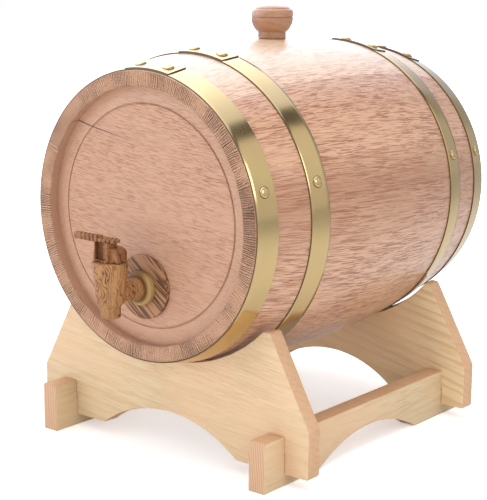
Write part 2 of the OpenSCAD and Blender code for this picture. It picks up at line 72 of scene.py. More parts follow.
STAVES = sorted(n for n in frame["nodes"] if n.startswith("stave_"))
HOOPS = sorted(n for n in frame["nodes"] if n.startswith("hoop_") and not n.endswith("rivets"))
CASK_FRONT = min(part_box(n)[0][1] for n in STAVES)
CASK_BACK = max(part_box(n)[1][1] for n in STAVES)
CASK_LENGTH = CASK_BACK - CASK_FRONT
CASK_MID = (CASK_FRONT + CASK_BACK) / 2
AXIS_Z = box_middle("front_head", 2)
BULGE_RADIUS = max(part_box(n)[1][2] for n in STAVES) - AXIS_Z
HEAD_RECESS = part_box("front_head")[0][1] - CASK_FRONT
HEAD_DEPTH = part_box("front_head")[1][1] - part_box("front_head")[0][1]
TAP_X = box_middle("tap_rosette", 0)
TAP_Z = box_middle("tap_rosette", 2)

# Sizes and places that the boxes of the nodes don't show, as in the part's source

CROZE_ROOM = 0.0001  # between a head's edge and the bottom of its croze
CROZE_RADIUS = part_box("front_head")[1][0] + CROZE_ROOM
TONGUE = (HEAD_RECESS + 0.0025, HEAD_RECESS + 0.0065)  # from the stave ends
HEAD_FLAT = 0.0737  # radius inside the head's turned groove
HOOP_TURNS = (87.4, 84.0, 80.0, 78.0)  # degrees to each hoop's lap
SIDE_TURN = 15.5  # degrees to a hoop's side rivets
RIVET_PITCH = 0.0235  # between a lap's two rivets
LAP_END = 0.007  # from a rivet to the lap's end


def distance(name, description, default, low, high):
    return bpy.props.FloatProperty(name=name, description=description, default=default, min=low, max=high,
                                   subtype="DISTANCE", unit="LENGTH")


def colour_setting(name, description, default):
    return bpy.props.FloatVectorProperty(name=name, description=description, default=default, min=0, max=1,
                                         subtype="COLOR", size=3)


class CaskSizes(bpy.types.PropertyGroup):
    """Sizes of the cask and its stand that the frame doesn't state."""

    end_radius: distance("End radius", "Outer radius over the stave ends", 0.095, 0.05, 0.2)
    stave_thickness: distance("Stave thickness", "Thickness of a stave", 0.010, 0.005, 0.03)
    seam: distance("Seam", "Gap that shows between neighbouring staves", 0.00008, 0.0, 0.002)
    hoop_thickness: distance("Hoop thickness", "Thickness of the hoop strap", 0.0008, 0.0002, 0.003)
    rivet_radius: distance("Rivet radius", "Radius of a rivet head", 0.004, 0.001, 0.01)
    rivet_height: distance(
        "Rivet height", "Height of a rivet head over its strap", 0.0016, 0.0005, 0.004)
    edge: distance("Eased edge", "Width to which the stand's sawn edges are eased", 0.0009, 0.0, 0.004)


class CaskColours(bpy.types.PropertyGroup):
    """Colours of the woods and metals, as they look in even light."""

    oak: colour_setting("Oak", "Mean colour of the staves", (0.655, 0.355, 0.207))
    head: colour_setting("Head", "Mean colour of the heads", (0.580, 0.318, 0.200))
    end_grain: colour_setting("End grain", "Mean colour of the sawn stave ends", (0.262, 0.160, 0.102))
    brass: colour_setting("Brass", "Colour of the hoops and rivets", (0.635, 0.470, 0.232))
    bung: colour_setting("Bung", "Colour of the bung", (0.470, 0.236, 0.124))
    tap: colour_setting("Tap", "Mean colour of the tap", (0.222, 0.101, 0.037))
    rosette: colour_setting("Rosette", "Mean colour of the rosette", (0.285, 0.160, 0.090))
    washer: colour_setting("Washer", "Colour of the washer", (0.265, 0.150, 0.050))
    pine: colour_setting("Pine", "Mean colour of the stand", (0.735, 0.560, 0.345))


def sizes():
    return bpy.context.scene.cask_sizes


def colours():
    return bpy.context.scene.cask_colours


# Shader expressions

class Sock:
    """A node's output, with the arithmetic that adds Math nodes."""

    def __init__(self, tree, out):
        self.tree = tree
        self.out = out

    def node(self, kind, ins=(), out=0, **settings):
        """A new node in the same tree; ins holds values or links, in order or by socket."""
        n = self.tree.nodes.new(kind)
        for key, value in settings.items():
            setattr(n, key, value)
        for key, value in (ins.items() if isinstance(ins, dict) else enumerate(ins)):
            if isinstance(value, Sock):
                self.tree.links.new(value.out, n.inputs[key])
            else:
                n.inputs[key].default_value = value
        return Sock(self.tree, n.outputs[out])

    def math(self, op, *args, clamp=False):
        return self.node("ShaderNodeMath", args, operation=op, use_clamp=clamp)

    def __add__(self, b):
        return self.math("ADD", self, b)

    def __radd__(self, b):
        return self.math("ADD", b, self)

    def __sub__(self, b):
        return self.math("SUBTRACT", self, b)

    def __rsub__(self, b):
        return self.math("SUBTRACT", b, self)

    def __mul__(self, b):
        return self.math("MULTIPLY", self, b)

    def __rmul__(self, b):
        return self.math("MULTIPLY", b, self)

    def __truediv__(self, b):
        return self.math("DIVIDE", self, b)

    def __rtruediv__(self, b):
        return self.math("DIVIDE", b, self)

    def __neg__(self):
        return self.math("MULTIPLY", self, -1.0)

    def abs(self):
        return self.math("ABSOLUTE", self)

    def root(self):
        return self.math("SQRT", self)

    def fract(self):
        return self.math("FRACT", self)

    def clamp(self):
        return self.math("ADD", self, 0.0, clamp=True)

    def ridges(self):
        """1 at whole numbers and 0 halfway between them."""
        return (self.fract() - 0.5).abs() * 2

    def smooth(self, a, b):
        """0 below a, 1 above b, smooth between; a may lie over b."""
        return self.node("ShaderNodeMapRange", {0: self, 1: a, 2: b}, interpolation_type="SMOOTHSTEP")

    def mix(self, a, b):
        """Colour a where this is 0 and colour b where it is 1."""
        return self.node("ShaderNodeMix", {0: self, 6: rgba(a), 7: rgba(b)}, out=2, data_type="RGBA")

    def xyz(self):
        n = self.tree.nodes.new("ShaderNodeSeparateXYZ")
        self.tree.links.new(self.out, n.inputs[0])
        return [Sock(self.tree, o) for o in n.outputs]

    def noise(self, scale, detail=2.0, rough=0.5, distort=0.0):
        return self.node("ShaderNodeTexNoise", {"Vector": self, "Scale": scale, "Detail": detail,
                                                "Roughness": rough, "Distortion": distort})

    def stretched(self, scale, at):
        return self.node("ShaderNodeMapping", {0: self, 1: at, 3: scale})


def rgba(c):
    return c if isinstance(c, Sock) or len(c) == 4 else (*c, 1.0)


def times(colour, k):
    """A plain colour made darker or lighter; k may be one number or three."""
    k = k if isinstance(k, (tuple, list)) else (k, k, k)
    return tuple(min(1.0, c * f) for c, f in zip(colour, k))


class Finish:
    """A material under construction: its tree, its coordinates and its shader."""

    def __init__(self, name):
        self.mat = bpy.data.materials.new(name)
        self.mat.use_nodes = True
        self.tree = self.mat.node_tree
        self.shader = self.tree.nodes["Principled BSDF"]
        self.any = Sock(self.tree, None)
        self.place = self.any.node("ShaderNodeTexCoord", out="Object")

    def attribute(self, name):
        return self.any.node("ShaderNodeAttribute", out="Fac", attribute_name=name)

    def combine(self, x, y, z):
        return self.any.node("ShaderNodeCombineXYZ", (x, y, z))

    def bump(self, height, strength, distance):
        return self.any.node("ShaderNodeBump", {"Height": height, "Strength": strength, "Distance": distance})

    def done(self, **values):
        """The material, with values or links for its shader's sockets."""
        for key, value in values.items():
            socket = self.shader.inputs[key.replace("_", " ").title().replace("Ior", "IOR")]
            if isinstance(value, Sock):
                self.tree.links.new(value.out, socket)
            else:
                socket.default_value = rgba(value) if isinstance(value, (tuple, list)) else value
        return self.mat


# Sawn wood: its tints are shares of the wood's own colour

DARK_GRAIN = (0.62, 0.55, 0.48)
LIGHT_GRAIN = (1.14, 1.24, 1.32)
# A whiter share of the oak for staves of high tone: painted highlight
PAINTED_STAVE_HIGHLIGHT = (1.10, 1.50, 1.76)
YEAR_LINE = (0.74, 0.60, 0.46)
LONG_GRAIN = 0.06  # scale of the long grain's noise along itself


def bent_place(f):
    """Coordinates that follow the bent stave, and differ from one stave to the next."""
    x, y, z = f.place.xyz()
    off_mid = y - CASK_MID
    bend = (BULGE_RADIUS - sizes().end_radius) * 4 / CASK_LENGTH ** 2
    grow = BULGE_RADIUS / (BULGE_RADIUS - off_mid * off_mid * bend)
    along = f.combine(x * grow, y, (z - AXIS_Z) * grow)
    piece = f.attribute("piece")
    shift = f.combine(piece * 0.31, piece * 0.17, piece * 0.23)
    return along.node("ShaderNodeVectorMath", (along, shift), operation="ADD")


def wood_finish(name, base, along, *, ring_gap, streaks, flecks, fleck_size, roughness, rings=0.0,
                fleck_run=6.0, fleck_tint=(0.5, 0.4, 0.33), crisp=0.12, figure=0.0, figure_size=0.004,
                coat=0.0, toned=False, seed=0.0, swirl=0.009, tilt=0.35, slant=0.0, adapt=None):
    """Sawn wood whose grain runs along one axis of the piece: 0 or 1.

    ring_gap is the spacing of the year lines, fleck_size the width of the short dark pores, which
    are fleck_run times as long, and figure_size the breadth of the winding grain lines. rings,
    streaks, flecks and figure say how strongly each shows. crisp is the softness of a pore's edge,
    swirl bends the year lines, tilt turns them, and slant leans the whole grain. A toned piece is
    a stave, and reads its own attributes. adapt may change the colour and the height.
    """
    f = Finish(name)
    p = bent_place(f) if toned else f.place
    if slant:
        x, y, z = p.xyz()
        p = f.combine(x, y, z + (x, y)[along] * slant)

    def run(k, at):
        scale = [1.0, 1.0, 1.0]
        scale[along] = k
        return p.stretched(scale, at)

    low = run(LONG_GRAIN, (seed, seed * 0.7, seed * 1.3))
    across = p.xyz()
    across.pop(along)
    level = (across[0] * tilt + across[1] + low.noise(28.0, 3.0, 0.55) * swirl) / ring_gap
    line = level.fract()
    line = line.smooth(0.45, 0.88) * (1 - line.smooth(0.88, 1.0))
    fine = run(LONG_GRAIN, (seed * 2, 0, seed)).noise(900.0, 2.0, 0.6)
    broad = low.noise(60.0, 3.0, 0.6)
    pore = run(1 / fleck_run, (0, seed, 0)).noise(1 / fleck_size, 1.0, 0.5, 0.6)
    patch = run(0.4, (0, seed, 0)).noise(38.0).smooth(0.25, 0.65) * 0.55 + 0.45
    pit = pore.smooth(0.52, 0.52 + crisp) * patch * flecks
    if figure:
        wind = run(0.14, (seed, 0.3, seed)).noise(1 / figure_size, 2.0, 0.6, 0.5) * 7.0
        pit = (pit + wind.ridges().smooth(0.55, 0.95) * figure * patch).clamp()
    tint = (broad - 0.5) * streaks + (fine - 0.5) * streaks * 0.9
    # A stave's tone, partly its own timber and partly painted light, lightens or darkens its grain
    if toned:
        tone_and_painted_light = f.attribute("tone_and_painted_light")
        tint = tint + tone_and_painted_light
    colour = (tint * 1.6 + 0.5).clamp().mix(times(base, DARK_GRAIN), times(base, LIGHT_GRAIN))
    # Staves of high tone are painted whiter, with fewer pores: painted highlight
    if toned:
        pale = tone_and_painted_light.smooth(0.10, 0.24)
        colour = (pale * 0.9).mix(colour, times(base, PAINTED_STAVE_HIGHLIGHT))
        pit = pit * (1 - pale * 0.55)
    if rings:
        colour = (line * rings * 4).clamp().mix(colour, times(base, YEAR_LINE))
    colour = pit.mix(colour, times(base, fleck_tint))
    height = fine * 0.25 - pit * 0.9 - line * 0.1
    if adapt:
        colour, height = adapt(f, colour, height)
    return f.done(base_color=colour, roughness=(roughness + (broad - 0.5) * 0.12 + pit * 0.25).clamp(),
                  coat_weight=coat, coat_roughness=0.3, normal=f.bump(height, 0.6, 0.0004))


# Mesh helpers

def placed(name, data):
    """A new object in the scene, at the origin."""
    ob = bpy.data.objects.new(name, data)
    bpy.context.scene.collection.objects.link(ob)
    return ob


def shade(me, angle):
    """Smooth faces that meet at a sharp edge where they turn by more than angle degrees."""
    for poly in me.polygons:
        poly.use_smooth = True
    me.set_sharp_from_angle(angle=math.radians(angle))


def mark(me, name, domain, values):
    """An attribute for a finish to read: one number for each point or face."""
    me.attributes.new(name, "FLOAT", domain).data.foreach_set("value", values)


def join(name, parts):
    """One object from several without materials, which are removed."""
    bm = bmesh.new()
    for part in parts:
        bm.from_mesh(part.data)
        bpy.data.objects.remove(part)
    me = bpy.data.meshes.new(name)
    bm.to_mesh(me)
    bm.free()
    return placed(name, me)


def rounded(points, radius):
    """A closed outline with each corner rounded; a point may carry its own radius as a third value."""
    out, steps = [], 4
    for i, point in enumerate(points):
        p = Vector(point[:2])
        r = point[2] if len(point) > 2 else radius
        a = Vector(points[i - 1][:2]) - p
        b = Vector(points[(i + 1) % len(points)][:2]) - p
        if r <= 0 or a.length < 1e-9 or b.length < 1e-9 or a.angle(b) > math.radians(176):
            out.append(p)
            continue
        t = min(r / math.tan(a.angle(b) / 2), a.length * 0.45, b.length * 0.45)
        start, end = p + a.normalized() * t, p + b.normalized() * t
        for k in range(steps + 1):
            s = k / steps
            out.append(start.lerp(p, s).lerp(p.lerp(end, s), s))
    return out


LYING, UPRIGHT = 1, 2
WIDE_STEPS, SMALL_STEPS = 256, 160  # round a piece as wide as the cask, and round a small one


def spun(name, outline, centre, axis, turns, start=0.0, sweep=2 * math.pi, smooth=35.0):
    """Turns an outline of (radius, distance) round an axis through centre.

    A lying axis is the cask's, and the turn round it is counted from +X towards +Z.
    """
    full = abs(sweep - 2 * math.pi) < 1e-6
    rows = turns if full else turns + 1
    verts, faces = [], []
    n = len(outline)
    for i in range(rows):
        a = start + sweep * i / turns
        c, s = math.cos(a), math.sin(a)
        for r, d in outline:
            if axis == LYING:
                verts.append((centre[0] + r * c, centre[1] + d, centre[2] + r * s))
            else:
                verts.append((centre[0] + r * c, centre[1] + r * s, centre[2] + d))
    for i in range(turns):
        j = (i + 1) % rows
        for k in range(n):
            m = (k + 1) % n
            if outline[k][0] < 1e-9 and outline[m][0] < 1e-9:
                continue
            faces.append((i * n + k, i * n + m, j * n + m, j * n + k))
    if not full:
        faces.append(tuple(range(n)))
        faces.append(tuple(range((rows - 1) * n + n - 1, (rows - 1) * n - 1, -1)))
    me = bpy.data.meshes.new(name)
    me.from_pydata(verts, [], faces)
    bm = bmesh.new()
    bm.from_mesh(me)
    bmesh.ops.remove_doubles(bm, verts=bm.verts, dist=1e-7)
    bmesh.ops.recalc_face_normals(bm, faces=bm.faces)
    bm.to_mesh(me)
    bm.free()
    shade(me, smooth)
    return placed(name, me)


def apply_modifiers(ob):
    """The evaluated mesh becomes the object's own, and its modifiers go."""
    deps = bpy.context.evaluated_depsgraph_get()
    me = bpy.data.meshes.new_from_object(ob.evaluated_get(deps), depsgraph=deps)
    ob.modifiers.clear()
    ob.data = me
    return ob


def ease_edges(ob, width, angle):
    """Rounds the edges that turn by more than angle degrees."""
    bevel = ob.modifiers.new("edges", "BEVEL")
    bevel.width, bevel.segments = width, 3
    bevel.limit_method, bevel.angle_limit = "ANGLE", math.radians(angle)
    return apply_modifiers(ob)


def merged_copy(node, name):
    """A copy of a CAD node's mesh with its loose triangles merged and its flat faces whole."""
    me = frame["nodes"][node].data.copy()
    me.materials.clear()
    bm = bmesh.new()
    bm.from_mesh(me)
    bmesh.ops.remove_doubles(bm, verts=bm.verts, dist=2e-6)
    bmesh.ops.dissolve_limit(bm, angle_limit=math.radians(0.6), verts=bm.verts, edges=bm.edges)
    bm.to_mesh(me)
    bm.free()
    return placed(name, me)


def dress(ob, body, material, nodes):
    """Puts a finished piece on its body in place of its CAD nodes; it may have its materials already."""
    if material:
        ob.data.materials.clear()
        ob.data.materials.append(material)
    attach(ob, body)
    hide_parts(*nodes)
    subparts = frame["record"]["subparts"]
    next(s["material_slot"] for s in subparts if s["node"] == nodes[0])


# The cask's outline: one arc from end to end

def outline_arc():
    half = CASK_LENGTH / 2
    rise = BULGE_RADIUS - sizes().end_radius
    radius = (half * half + rise * rise) / (2 * rise)
    return radius, BULGE_RADIUS - radius


def cask_radius(y, grow=0.0):
    """Outer radius at a distance y from the front stave ends, grown square to the surface."""
    radius, centre = outline_arc()
    d = y - CASK_LENGTH / 2
    return centre + math.sqrt((radius + grow) ** 2 - d * d)


def cask_tilt(y):
    radius, _ = outline_arc()
    return math.asin((y - CASK_LENGTH / 2) / radius)


# Finishes

def polar(f):
    """Turn round the cask's axis and distance from it; the turn's seam lies underneath."""
    x, _, z = f.place.xyz()
    up = z - AXIS_Z
    return x.math("ARCTAN2", x, up), (x * x + up * up).root()


def end_grain_finish():
    """Sawn stave ends: close rays towards the axis, crossed by fainter year lines."""
    mid_radius, ray_gap, year_gap = 0.09, 0.00135, 0.0019
    f = Finish("oak_end_grain")
    turn, reach = polar(f)
    arc = turn * mid_radius
    patch = f.combine(arc, reach, 0.0).noise(60.0)
    sway = f.combine(arc, reach * 0.3, 2.0).noise(110.0) * 0.007
    rays = ((arc + sway) / ray_gap).ridges().smooth(0.35, 0.85)
    years = ((reach + sway * 0.5 + arc * 0.2) / year_gap).ridges().smooth(0.55, 0.95)
    pore = f.combine(arc, reach * 0.5, 4.0).noise(1000.0, 2.0, 0.7)
    # A stave's tone is partly its own timber and partly painted light: a pale stave's end is hardly paler
    # than the others, while a dark stave's end is darker, its painted shade included
    tone_and_painted_light = f.any.math("MINIMUM", f.attribute("tone_and_painted_light"), 0.03)
    dark = rays * (patch.smooth(0.3, 0.7) * 0.45 + 0.50) + years * 0.16
    dark = dark + (pore - 0.5) * 1.4 + (patch - 0.5) * 0.8 + 0.08 - tone_and_painted_light * 2.0
    base = colours().end_grain
    colour = dark.clamp().mix(times(base, (1.95, 1.80, 1.72)), times(base, (0.36, 0.26, 0.21)))
    return f.done(base_color=colour, roughness=0.75, normal=f.bump(-dark, 0.5, 0.0003))


def stave_finish():
    return wood_finish("oak_stave", colours().oak, 1, ring_gap=0.011, streaks=0.26, flecks=1.15,
                       fleck_size=0.00062, fleck_run=32.0, fleck_tint=(0.49, 0.31, 0.21), crisp=0.09,
                       figure=0.28, figure_size=0.006, slant=0.06, roughness=0.42, coat=0.9, toned=True)


def head_finish(name="oak_head"):
    """The head's boards: flecked grain that falls a little, and one joint that opens towards its end."""
    joint_fall, joint_x, joint_up = 0.183, -0.064, 0.0575
    joint_half_width = 0.00065

    def stains_joint_and_painted_light(f, colour, height):
        """A bevel painted paler as a painted highlight, a stained foot, painted shade in the turned groove,
        and a dark joint.
        """
        x, _, z = f.place.xyz()
        _, reach = polar(f)
        base = colours().head
        # Painted highlight: outside the turned groove the face is painted paler and whiter
        bevel = reach.smooth(HEAD_FLAT, HEAD_FLAT + 0.002)
        colour = (bevel * 0.6).mix(colour, times(base, (0.94, 1.04, 1.10)))
        stain = f.place.noise(26.0, 3.0, 0.6).smooth(0.48, 0.70) * z.smooth(AXIS_Z + 0.01, AXIS_Z - 0.07)
        colour = (stain * 0.12).mix(colour, times(base, (0.78, 0.84, 0.86)))
        # Painted shade in the turned groove
        groove = (reach - HEAD_FLAT).abs().smooth(0.0009, 0.0003)
        colour = (groove * 0.30).mix(colour, times(base, (0.46, 0.40, 0.37)))
        off = (z + (x - joint_x) * joint_fall - (AXIS_Z + joint_up)).abs()
        shows = x.smooth(-0.004, -0.045) * x.smooth(-0.078, joint_x)
        joint = off.smooth(joint_half_width, 0.0001) * shows
        return joint.mix(colour, times(base, (0.30, 0.22, 0.18))), height - joint * 1.5
    return wood_finish(name, colours().head, 0, ring_gap=0.013, streaks=0.20, flecks=0.75,
                       fleck_size=0.0006, fleck_run=16.0, fleck_tint=(0.58, 0.44, 0.35), figure=0.2,
                       roughness=0.48, coat=0.1, seed=0.31, slant=0.12, adapt=stains_joint_and_painted_light)


def brass_finish(name="hoop_brass", roughness=0.18):
    """Rolled brass strap: fine lines round the cask and a little cloudiness; a marked rim is painted dark and
    dull, as painted shade.
    """
    f = Finish(name)
    turn, reach = polar(f)
    y = f.place.xyz()[1]
    lines = f.combine(turn * 0.004, y, reach).noise(1500.0, 2.0, 0.6)
    cloud = f.place.noise(60.0)
    rim = f.attribute("rim").clamp()
    base = colours().brass
    colour = cloud.mix(times(base, (0.93, 0.92, 0.88)), times(base, (1.06, 1.06, 1.08)))
    # Marked rims are painted dark: painted shade at the straps' edges and in the rivets' grooves
    colour = rim.mix(colour, times(base, (0.16, 0.13, 0.10)))
    rough = (roughness + (lines - 0.5) * 0.08 + (cloud - 0.5) * 0.08 + rim * 0.4).clamp()
    return f.done(base_color=colour, metallic=(1 - rim * 0.8).clamp(), roughness=rough,
                  normal=f.bump(lines, 0.04, 0.0001))


def bung_finish():
    return wood_finish("bung_wood", colours().bung, 0, ring_gap=0.004, rings=0.10, streaks=0.28,
                       flecks=0.35, fleck_size=0.0009, roughness=0.30, coat=0.5, seed=0.7, swirl=0.004)


def tap_finish(name, seed, line_gap=0.0024, lines=1.0, swirl=0.016, tint=(1.0, 1.0, 1.0), painted_shade_box=None):
    """Figured upright wood: fine dark lines that wind like the contours of a map.

    The last argument is the lowest and highest corner of a place painted dark, as painted shade in a recess.
    """
    f = Finish(name)
    upright = f.place.stretched((1.0, 1.0, 0.5), (seed, seed, 0))
    x, y, z = f.place.xyz()
    sway = upright.noise(60.0) * swirl * 2 + upright.noise(240.0) * swirl * 0.3
    wave = ((x * 0.7 + y * 0.5 + sway) / line_gap).ridges()
    strength = upright.noise(140.0).smooth(0.3, 0.7)
    dark = wave.smooth(0.35, 0.95) * (strength * 0.7 + 0.3)
    mid = upright.noise(190.0, 3.0, 0.6)
    speck = upright.noise(1300.0, 2.0, 0.6).smooth(0.5, 0.66)
    depth = (dark * 0.75 * lines + (mid - 0.5) * 1.5 + speck * 0.35 + 0.02).clamp()
    base = times(colours().tap, tint)
    colour = depth.mix(times(base, (1.85, 2.00, 2.15)), times(base, (0.42, 0.28, 0.18)))
    # Wood below the tap's axis is made darker
    darker_below_axis = z.smooth(TAP_Z - 0.002, TAP_Z - 0.020)
    colour = (darker_below_axis * 0.35).mix(colour, times(base, (0.75, 0.70, 0.65)))
    # Painted shade: the hollow of the key's slot is painted dark
    if painted_shade_box:
        in_painted_shade = 1
        for axis, low, high in zip((x, y, z), *painted_shade_box):
            in_painted_shade = in_painted_shade * axis.smooth(low - 0.0003, low) * axis.smooth(high + 0.0003, high)
        colour = (in_painted_shade * 0.85).mix(colour, times(base, (0.85, 0.70, 0.50)))
    return f.done(base_color=colour, roughness=(depth * 0.2 + 0.42).clamp(), specular_ior_level=0.3,
                  normal=f.bump(-depth, 0.6, 0.0004))


def rosette_finish():
    """Dark timber cut so that its bands run slanting across the disc."""
    right, up = 0.62, 0.78  # the way across the bands
    f = Finish("rosette_wood")
    x, y, z = f.place.xyz()
    x, z = x - TAP_X, z - TAP_Z
    slant = f.combine(x * right + z * up, (x * up - z * right) * 0.04, y)
    bands = slant.noise(620.0, 2.0, 0.5, 0.2)
    fine = slant.noise(1500.0, 2.0, 0.6)
    dark = (bands.smooth(0.47, 0.56) * 0.9 + (fine - 0.5) * 0.6 + 0.1).clamp()
    base = colours().rosette
    colour = dark.mix(times(base, (1.42, 1.28, 1.14)), times(base, (0.38, 0.28, 0.22)))
    return f.done(base_color=colour, roughness=0.55, specular_ior_level=0.3,
                  normal=f.bump(-dark, 0.4, 0.0003))


def washer_finish():
    """Waxed wood with rings about the stem, with painted shade in its hollow and at its upper left, and a
    painted highlight on its lower right rim.
    """
    hollow_end, rim_start = 0.0084, 0.0106
    f = Finish("washer_wood")
    x, y, z = f.place.xyz()
    x, up = x - TAP_X, z - TAP_Z
    reach = (x * x + up * up).root()
    rings = f.combine(reach, up * 0.05, y).noise(900.0, 2.0, 0.6)
    cloud = f.place.noise(160.0)
    # Painted light: the rim on the lower right is painted lighter, the hollow and the upper left darker as
    # painted shade
    light = reach.smooth(hollow_end, rim_start) * (x * 0.8 - up * 0.5).smooth(-0.005, 0.005)
    light = (light + (rings - 0.5) * 0.5 + (cloud - 0.5) * 0.6).clamp()
    base = colours().washer
    colour = light.mix(times(base, (0.62, 0.50, 0.42)), times(base, (1.50, 1.65, 1.80)))
    return f.done(base_color=colour, roughness=0.5, specular_ior_level=0.25,
                  normal=f.bump(rings, 0.2, 0.0002))


def pine_finish(name, along, seed, rings, ring_gap, light=1.0, slant=0.0):
    """Planed pine face: wide year lines and warm, slightly pink clouds; light above 1 paints the pine
    lighter, as painted light.
    """
    def clouds(f, colour, height):
        cloud = f.place.noise(14.0).smooth(0.40, 0.72) * 0.75
        return cloud.mix(colour, times(colours().pine, (0.98 * light, 0.86 * light, 0.84 * light))), height
    return wood_finish(name, times(colours().pine, light), along, ring_gap=ring_gap, rings=rings,
                       streaks=0.14, flecks=0.75, fleck_size=0.0008, fleck_run=24.0,
                       fleck_tint=(0.80, 0.68, 0.56), roughness=0.5, coat=0.1, seed=seed, swirl=0.030,
                       tilt=0.12, slant=slant, adapt=clouds)


def pine_edge_finish():
    """Sawn edges: pinker than the faces, with close lines, and painted dark where the cask lies, as painted
    shade.
    """
    def saddle_painted_shade(f, colour, height):
        _, reach = polar(f)
        # Painted shade on the saddle faces next to the cask
        painted_shade_near_cask = reach.smooth(0.1075, 0.1045)
        return (painted_shade_near_cask * 0.7).mix(colour, times(colours().pine, (0.38, 0.26, 0.20))), height
    return wood_finish("pine_edge", times(colours().pine, (0.94, 0.75, 0.70)), 0, ring_gap=0.005,
                       rings=0.06, streaks=0.20, flecks=0.4, fleck_size=0.0009, fleck_run=5.0,
                       fleck_tint=(0.78, 0.62, 0.52), roughness=0.6, seed=0.77, swirl=0.02, tilt=0.6,
                       adapt=saddle_painted_shade)


def pine_end_finish():
    """End grain: the year rings as long, flat arcs across the sawn end."""
    heart_depth, ring_gap = 0.05, 0.0052
    f = Finish("pine_end_grain")
    x, _, z = f.place.xyz()
    rise = z + heart_depth
    reach = (x * x * 9.0 + rise * rise).root() + f.place.noise(90.0) * 0.002
    ring = (reach / ring_gap).ridges()
    fine = f.place.noise(1500.0, 2.0, 0.6)
    dark = (ring.smooth(0.3, 1.0) * 0.75 + (fine - 0.5) * 0.8).clamp()
    base = colours().pine
    colour = dark.mix(times(base, (0.83, 0.70, 0.71)), times(base, (0.56, 0.38, 0.34)))
    return f.done(base_color=colour, roughness=0.7, normal=f.bump(-dark, 0.3, 0.0003))


# The cask

CASK_PLACE = (0, CASK_FRONT, AXIS_Z)

# Tone of each stave at its two edges: partly each stave's own timber, partly painted light, with painted
# highlight on the staves round the top and a little below the axis on the +X side, and painted shade on the
# +X side about the axis's height
STAVE_TONES_AND_PAINTED_LIGHT = (
    (0.28, 0.22), (0.12, 0.02), (0.02, 0.05), (0.06, 0.02), (-0.04, -0.08), (0.08, 0.03),
    (-0.02, 0.04), (0.06, 0.0), (0.0, 0.05), (-0.06, -0.02), (0.04, 0.08), (0.09, 0.05),
    (-0.03, 0.0), (0.05, 0.02), (-0.07, -0.02), (0.02, 0.06), (0.0, 0.12), (0.10, 0.02),
    (-0.08, -0.20), (-0.28, -0.06), (0.06, 0.03), (0.02, -0.03), (0.17, 0.23), (0.26, 0.30))


def stave_outline():
    """Radius and distance from the front stave ends, once round a stave's section."""
    def at(y, grow):
        return cask_radius(y, grow), y

    t, ease, length = sizes().stave_thickness, 0.0006, CASK_LENGTH
    outer_steps, inner_steps = 44, 30
    rim, bore = cask_radius(0), cask_radius(0, -t)
    near, far = TONGUE
    back_near, back_far = length - near, length - far
    out = [(rim - ease, 0.0), (rim - ease * 0.3, ease * 0.3)]
    out += [at(ease + (length - 2 * ease) * i / outer_steps, 0.0) for i in range(outer_steps + 1)]
    out += [(rim - ease * 0.3, length - ease * 0.3), (rim - ease, length)]
    out += [(bore + ease, length), at(length - ease, -t)]
    out += [at(back_near, -t), (CROZE_RADIUS, back_near), (CROZE_RADIUS, back_far), at(back_far, -t)]
    out += [at(back_far + (far - back_far) * i / inner_steps, -t) for i in range(1, inner_steps + 1)]
    out += [(CROZE_RADIUS, far), (CROZE_RADIUS, near), at(near, -t)]
    return out + [at(ease, -t), (bore + ease, 0.0)]


def dress_staves():
    finishes = stave_finish(), end_grain_finish(), head_finish("oak_chime")
    outline = stave_outline()
    pitch = 2 * math.pi / len(STAVES)
    gap = sizes().seam / BULGE_RADIUS
    steps, end_reach = 10, 0.0012
    end, chime = 1, 2  # places in finishes
    for i, node in enumerate(STAVES):
        middle = math.pi / 2 + i * pitch
        start = middle - pitch / 2 + gap / 2
        ob = spun("oak_" + node, outline, CASK_PLACE, LYING, steps, start, pitch - gap, smooth=30)
        me = ob.data
        for finish in finishes:
            me.materials.append(finish)
        outward = Vector((math.cos(middle), 0, math.sin(middle)))
        for poly in me.polygons:
            from_end = min(poly.center.y - CASK_FRONT, CASK_BACK - poly.center.y)
            if abs(poly.normal.y) > 0.6 and from_end < end_reach:
                poly.material_index = end
            elif poly.normal.dot(outward) < -0.5 and from_end < TONGUE[0]:
                poly.material_index = chime
        mark(me, "piece", "POINT", [float(i)] * len(me.vertices))
        # Each stave's tone, partly its own timber and partly painted light, runs from one edge to the other
        low, high = STAVE_TONES_AND_PAINTED_LIGHT[i % len(STAVE_TONES_AND_PAINTED_LIGHT)]
        tone_and_painted_light = []
        for v in me.vertices:
            turn = math.atan2(v.co.z - AXIS_Z, v.co.x) - middle
            share = (turn + math.pi) % (2 * math.pi) - math.pi
            tone_and_painted_light.append(low + (high - low) * (share / pitch + 0.5))
        mark(me, "tone_and_painted_light", "POINT", tone_and_painted_light)
        if i == 0:
            cut_bung_hole(ob)
        dress(ob, "cask", None, [node])


def cut_bung_hole(ob):
    """The hole that the bung leaves when it is pulled."""
    foot_radius, mouth_radius, below, above = 0.00748, 0.00876, -0.014, 0.002
    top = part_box("stave_01")[1][2]
    section = [(0, below), (foot_radius, below), (mouth_radius, above), (0, above)]
    cutter = spun("bung_hole_cutter", section, (0, CASK_MID, top), UPRIGHT, 96)
    m = ob.modifiers.new("hole", "BOOLEAN")
    m.operation, m.object, m.solver = "DIFFERENCE", cutter, "EXACT"
    apply_modifiers(ob)
    shade(ob.data, 30)
    bpy.data.objects.remove(cutter)


